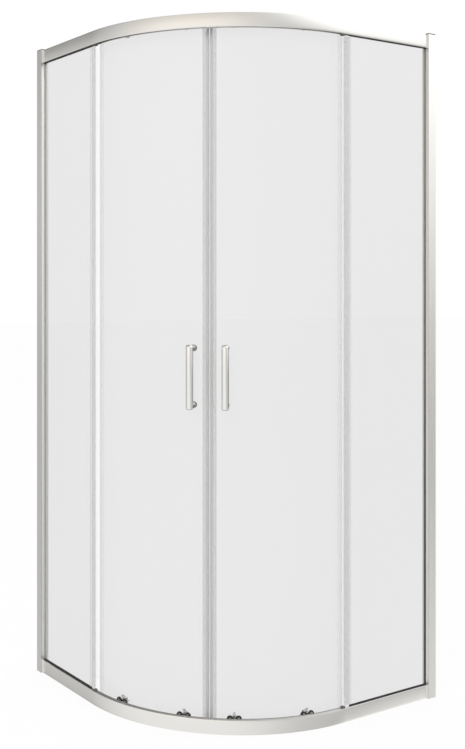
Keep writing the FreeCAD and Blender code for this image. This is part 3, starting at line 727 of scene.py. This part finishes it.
# --- Handles ---
# Polished chrome bars with rounded ends, each on two straight posts with a fine turned groove near the
# glass, screwed through the glass from inside with socket screws.
chrome = Finish("polished_chrome", metallic=1.0)
wipe = chrome.noise(chrome.x * 60, chrome.y * 60, chrome.z * 20)
chrome.feed("Base Color", chrome.mix(wipe, (0.90, 0.895, 0.88, 1), (0.93, 0.925, 0.915, 1)))
chrome.feed("Roughness", 0.05 + 0.05 * wipe)
handle_angle = 39.5
handle_ends = (896.0, 1076.0)
post_heights = (906.0, 1066.0)
door_back = 43.0
handle_inset = 3.0
bar_radius = 10.0
dome = 5.0
quarter_turn = [math.radians(15 * number) for number in range(7)]
flat_end = bar_radius - dome
low_end = [(flat_end + dome * math.sin(t), handle_ends[0] + dome - dome * math.cos(t)) for t in quarter_turn]
high_end = [(radius, sum(handle_ends) - place) for radius, place in reversed(low_end)]
bar_outline = [(0, handle_ends[0])] + low_end + high_end + [(0, handle_ends[1])]
post_outline = [(0, handle_inset), (8.5, handle_inset), (8.5, 34.6), (8.0, 34.9), (8.0, 35.3), (8.5, 35.6)]
post_outline += [(8.5, 35.8), (8.3, 36.0), (3.05, 36.0), (3.05, 22.0), (0, 22.0)]
for side in sides:
    handle = Blank()
    handle.turned(2, (0, handle_inset, 0), bar_outline, sides=64)
    for up in post_heights:
        handle.turned(1, (0, 0, up), post_outline)
    piece = handle.made(side + "_handle_bar", chrome, side, handle_angle)
    stands_for(piece, side + "_door", "chrome_handle", side + "_handle")

    head = door_back + 1.3
    screw_outline = [(0, 24.0), (2.6, 24.0), (3.0, 24.4), (3.0, head), (9.0, head), (9.0, head + 2.8)]
    screw_outline += [(8.65, head + 3.65), (7.8, head + 4.0), (2.9, head + 4.0), (2.5, head + 3.6, 6)]
    screw_outline += [(2.5, head + 1.6, 6), (0, head + 1.6)]
    screws = []
    for up in post_heights:
        screw = Blank().turned(1, (0, 0, up), screw_outline)
        screws.append(screw.made("screw", chrome, side, handle_angle))
    piece = joined(side + "_handle_socket_screws", screws)
    stands_for(piece, side + "_door", "chrome_cap", side + "_handle_screws")

# --- Upper rollers ---
# Each door hangs on two hard plastic wheels with a ball bearing in them. The hanger, turned from one
# bar, holds the axle and goes through the glass to a domed nut on the inside.
plated = Finish("plated_steel", metallic=1.0)
turning = plated.noise(plated.x * 400, plated.y * 400, plated.z * 400)
plated.feed("Base Color", plated.mix(turning, (0.62, 0.62, 0.61, 1), (0.70, 0.70, 0.69, 1)))
plated.feed("Roughness", 0.16 + 0.12 * turning)
tyre = Finish("wheel_plastic", roughness=0.3)
wear = tyre.noise(tyre.x * 500, tyre.y * 500, tyre.z * 500)
tyre.feed("Base Color", tyre.mix(wear, (0.02, 0.02, 0.02, 1), (0.05, 0.05, 0.05, 1)))
tyre.bump(wear, 0.00002)
roller_angles = {"tail": 12.8, "lead": 36.8}
wheel_span = (22.0, 27.2)


def wheel(name, radius, bore, bearing, along, up, side, angle):
    """A plastic wheel with a chamfered tread, a dished web and a bearing with its shield."""
    near, far = wheel_span
    rim = radius - 1.8
    half = [
        (bore, near),
        (bore + 0.9, near),
        (bore + 1.1, near + 0.3),
        (bearing - 0.6, near + 0.3),
        (bearing - 0.4, near),
        (bearing, near),
        (bearing + 0.25, near + 0.5),
        (rim - 0.3, near + 0.5),
        (rim, near),
        (radius - 0.6, near),
        (radius, near + 0.6),
    ]
    outline = half + [(size, near + far - place) for size, place in reversed(half)]
    piece = Blank().turned(1, (along, 0, up), outline, sides=64).made(name, tyre, side, angle)
    piece.data.materials.append(plated.material)
    centre = laid((along, (near + far) / 2, up), side, angle)
    axis = (laid((along, far, up), side, angle) - laid((along, near, up), side, angle)).normalized()
    for face in piece.data.polygons:
        offset = face.center - centre
        if (offset - axis * offset.dot(axis)).length < (bearing + 0.05) * millimetre:
            face.material_index = 1
    return piece


upper_wheel_radius = 11.0
lower_wheel_radius = 9.0
track_clearance = 0.3
lower_hub_drop = 2.3
upper_axle = hanger_track + track_clearance + upper_wheel_radius
lower_axle = shelf + track_clearance + lower_wheel_radius
stud_height = lower_axle - lower_hub_drop
hanger_outline = [
    (0, 21.1), (1.4, 21.1), (1.6, 20.9), (4.1, 20.9), (4.5, 21.3), (4.5, 21.7), (3.0, 21.7), (3.0, 27.5),
    (5.0, 27.5), (5.0, 31.7), (8.6, 31.7), (9.0, 32.1), (9.0, 33.6), (8.7, 33.9), (8.7, 34.3), (9.0, 34.6),
    (9.0, 36.1), (8.6, 36.5), (5.0, 36.5), (5.0, 47.5), (4.7, 47.8), (0, 47.8),
]


def nut_outline(radius, bore):
    """A domed cap nut with a hexagon socket, over the end of its stud."""
    seat = door_back + 0.3
    rise = seat + 6.0
    return [
        (0, rise - 1.2), (2.5, rise - 1.2, 6), (2.5, rise - 0.5, 6), (3.0, rise - 0.1), (radius - 1.5, rise),
        (radius - 0.75, rise - 0.2), (radius - 0.2, rise - 0.75), (radius, rise - 1.5), (radius, seat + 0.3),
        (radius - 0.3, seat), (bore, seat), (bore, rise - 1.5), (0, rise - 1.5),
    ]


for side in sides:
    hangers = []
    nuts = []
    for end, angle in roller_angles.items():
        body = "%s_upper_wheel_%s" % (side, end)
        piece = wheel(body + "_bearing_wheel", upper_wheel_radius, 3.05, 6.6, 0, upper_axle, side, angle)
        stands_for(piece, body, "dark_wheel", body)
        hanger = Blank().turned(1, (0, 0, upper_axle), hanger_outline)
        hangers.append(hanger.made("hanger", plated, side, angle))
        for radius, bore, up in ((11.0, 5.05, upper_axle), (6.0, 4.05, stud_height)):
            nut = Blank().turned(1, (0, 0, up), nut_outline(radius, bore))
            nuts.append(nut.made("nut", chrome, side, angle))
    piece = joined(side + "_turned_hangers", hangers)
    stands_for(piece, side + "_door", "roller_metal", side + "_roller_hangers")
    piece = joined(side + "_domed_nuts", nuts)
    stands_for(piece, side + "_door", "chrome_cap", side + "_cap_nuts")

# --- Lower rollers ---
# A pressed steel carriage with two small wheels runs behind the lower rail. Its stem slides in a
# plastic guide that is bolted through the glass, and a coil spring presses it down. Pulled up by its
# hook, the carriage lets the door swing in for cleaning.
pale = Finish("pale_plastic", roughness=0.4)
cream = pale.noise(pale.x * 300, pale.y * 300, pale.z * 300)
pale.feed("Base Color", pale.mix(cream, (0.72, 0.72, 0.71, 1), (0.78, 0.78, 0.77, 1)))
pale.bump(cream, 0.00002)
plate_span = (27.5, 29.3)
stem_inset = 28.4
spread = 12.0
lobe = 7.0
plate_low = -5.0
plate_high = 1.5
high_turn = math.asin(plate_high / lobe)
low_turn = math.asin(plate_low / lobe)
lobe_start = math.pi - low_turn
lobe_end = 2 * math.pi + math.pi - high_turn
lobe_steps = 18
right_lobe = []
for number in range(lobe_steps + 1):
    turn_here = lobe_start + (lobe_end - lobe_start) * number / lobe_steps
    right_lobe.append((spread + lobe * math.cos(turn_here), lower_axle + lobe * math.sin(turn_here)))
left_lobe = [(-along, up) for along, up in reversed(right_lobe)]
plate_outline = right_lobe + left_lobe
axle_outline = [
    (0, 20.9), (1.8, 20.9), (3.0, 21.1), (3.5, 21.4), (3.5, 21.7), (2.0, 21.7), (2.0, 28.0), (0, 28.0)]
stem_top = 49.5
guide = (44.5, 48.5)
stem_outline = [(0, 36.8), (1.6, 36.8), (1.6, stem_top + 0.5), (0, stem_top + 0.5)]
coil, coil_input = new_tree(
    "coil_spring", Turns="Float", Coil="Float", Wire="Float", Rise="Float", Place="Vector")
helix = coil.node("GeometryNodeCurveSpiral", inputs={
    "Resolution": 28, "Rotations": coil_input["Turns"], "Start Radius": coil_input["Coil"],
    "End Radius": coil_input["Coil"], "Height": coil_input["Rise"]})
gauge = coil.node("GeometryNodeCurvePrimitiveCircle", inputs={"Resolution": 10, "Radius": coil_input["Wire"]})
wound = coil.node("GeometryNodeCurveToMesh", inputs={
    "Curve": helix, "Profile Curve": gauge, "Fill Caps": True})
wound = coil.node("GeometryNodeTransform", inputs={"Geometry": wound, "Translation": coil_input["Place"]})
end_tree(coil, wound, coil_input["Finish"])
spring_steel = Finish("spring_steel", metallic=1.0)
drawing = spring_steel.noise(spring_steel.x * 900, spring_steel.y * 900, spring_steel.z * 900)
spring_steel.feed("Base Color", spring_steel.mix(drawing, (0.55, 0.55, 0.54, 1), (0.64, 0.64, 0.63, 1)))
spring_steel.feed("Roughness", 0.22 + 0.12 * drawing)
wire = 0.35
spring_span = (37.9, 44.4)
spring_length = spring_span[1] - spring_span[0]

for side in sides:
    mounts = []
    for end, angle in roller_angles.items():
        carriage = Blank()
        carriage.cut_from(1, plate_outline, plate_span)
        for along in (-spread, spread):
            carriage.turned(1, (along, 0, lower_axle), axle_outline, sides=32)
        carriage.turned(2, (0, stem_inset, 0), stem_outline, sides=32)
        carriage.block((-2.7, 2.7), (24.0, 30.0), (stem_top, stem_top + 2.5), radius=0.9)
        carriage.block((-2.7, 2.7), (24.0, 25.2), (stem_top - 1.0, stem_top + 1.0), radius=0.4)
        piece = carriage.made("%s_pull_carriage_%s" % (side, end), plated, side, angle)
        stands_for(
            piece, "%s_lower_carriage_%s" % (side, end), "roller_metal", "%s_carriage_%s" % (side, end))

        for number, along in enumerate((-spread, spread), start=1):
            body = "%s_lower_wheel_%s_%d" % (side, end, number)
            piece = wheel(
                body + "_bearing_wheel", lower_wheel_radius, 2.05, 5.2, along, lower_axle, side, angle)
            stands_for(piece, body, "dark_wheel", body)

        mount = Blank()
        mount.block((-2.7, 2.7), (25.9, 36.5), guide, radius=0.6)
        mount.block((-2.7, 2.7), (31.3, 36.5), (stud_height, guide[0] + 1), radius=0.6)
        mount.turned(1, (0, 0, stud_height), [
            (0, 31.3), (5.7, 31.3), (6.0, 31.6), (6.0, 36.2), (5.7, 36.5), (4.0, 36.5), (4.0, 47.5),
            (3.7, 47.8), (0, 47.8)])
        bore = Blank().turned(2, (0, stem_inset, 0), [(0, 43.5), (1.65, 43.5), (1.65, 49.5), (0, 49.5)], 32)
        mounts.append(mount.made("mount", pale, side, angle, holes=bore))

        name = "%s_release_spring_%s" % (side, end)
        low = laid((0, stem_inset, spring_span[0] + wire), side, angle)
        piece = tidied(grown(
            name + "_coil", coil.tree, bpy.data.meshes.new(name), Turns=5.5, Coil=2.25 * millimetre,
            Wire=wire * millimetre, Rise=(spring_length - 2 * wire) * millimetre,
            Place=low, Finish=spring_steel.material))
        stands_for(piece, side + "_door", "spring_steel", name)
        tuple(laid((0, stem_inset, spring_span[1]), side, angle))
        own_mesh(piece)
    piece = joined(side + "_stem_guides", mounts)
    stands_for(piece, side + "_door", "pale_plastic", side + "_roller_mounts")

# --- Screws of the frame ---
# Socket screws hold the rails to the jambs and the jambs to the wall channels, these with a plastic
# cover cap over each head, and jack screws press the stop blocks against the rails.
scatter, scatter_input = new_tree("fasteners", Piece="Object")
pattern = scatter.node("GeometryNodeObjectInfo", inputs={0: scatter_input["Piece"]}, output=4)
heading = scatter.node("GeometryNodeInputNamedAttribute", {"data_type": "FLOAT_VECTOR"}, {"Name": "heading"})
placed = scatter.node("GeometryNodeInstanceOnPoints", inputs={
    "Points": scatter_input["Geometry"], "Instance": pattern, "Rotation": heading})
end_tree(scatter, placed, scatter_input["Finish"])


def fasteners(name, profile, places, finish, slot, node):
    """Set one turned screw or cap, which points inwards at the start of the curve, at each place."""
    pattern = Blank().turned(1, (0, 0, 0), profile, sides=36).made(name + "_pattern", finish)
    pattern.data.transform(Matrix.Translation(-laid((0, 0, 0), "left", 0)))
    base = bpy.data.meshes.new(name)
    base.from_pydata([place for place, heading in places], [], [])
    headings = base.attributes.new("heading", "FLOAT_VECTOR", "POINT")
    for number, (_, heading) in enumerate(places):
        headings.data[number].vector = heading
    piece = grown(name, scatter.tree, base, Piece=pattern, Finish=finish.material)
    bpy.data.objects.remove(pattern)
    stands_for(tidied(piece), "frame", slot, node)


def both_sides(points, along_the_rail):
    """Places of screws on both sides, with their heading inwards or along the rail."""
    turns = {"left": -90, "right": 180} if along_the_rail else {"left": 0, "right": 90}
    places = []
    for side, turn_here in turns.items():
        for point in points:
            places.append((laid(point, side, 0), (0, 0, math.radians(turn_here))))
    return places


port_heights = (5.2, 13.8, rail_top - 5.2, roof + rail_wall + 3.6)
jamb_wall = 1.6
seat_along = wall + jamb_front - jamb_wall
fasteners("port_screws", [
    (0, -1.2), (1.3, -1.2, 6), (1.3, -2.2, 6), (2.7, -2.2), (3.0, -1.9), (3.0, 0), (2.0, 0), (2.0, 19.6),
    (1.6, 20.0), (0, 20.0),
], both_sides([(seat_along, 6.2, up) for up in port_heights], True), plated, "steel_screw", "rail_screws")
jamb_heights = (300.0, rail_top / 2, rail_top - 300.0)
jamb_places = both_sides([(wall + 14, 20.0, up) for up in jamb_heights], False)
fasteners("channel_screws", [
    (0, -6.6), (1.6, -6.6), (2.0, -6.2), (2.0, 0), (4.0, 0), (4.0, 1.4), (3.2, 2.2), (1.5, 2.2),
    (1.4, 2.1, 6), (1.4, 1.0, 6), (0, 1.0),
], jamb_places, plated, "steel_screw", "jamb_screws")
fasteners("screw_cover_caps", [
    (4.2, 0), (6.0, 0), (6.0, 2.4), (5.7, 3.1), (5.0, 3.4), (0, 3.4), (0, 2.4), (4.2, 2.4),
], jamb_places, pale, "white_cap", "jamb_screw_caps")
plated.dress("jack_screws")
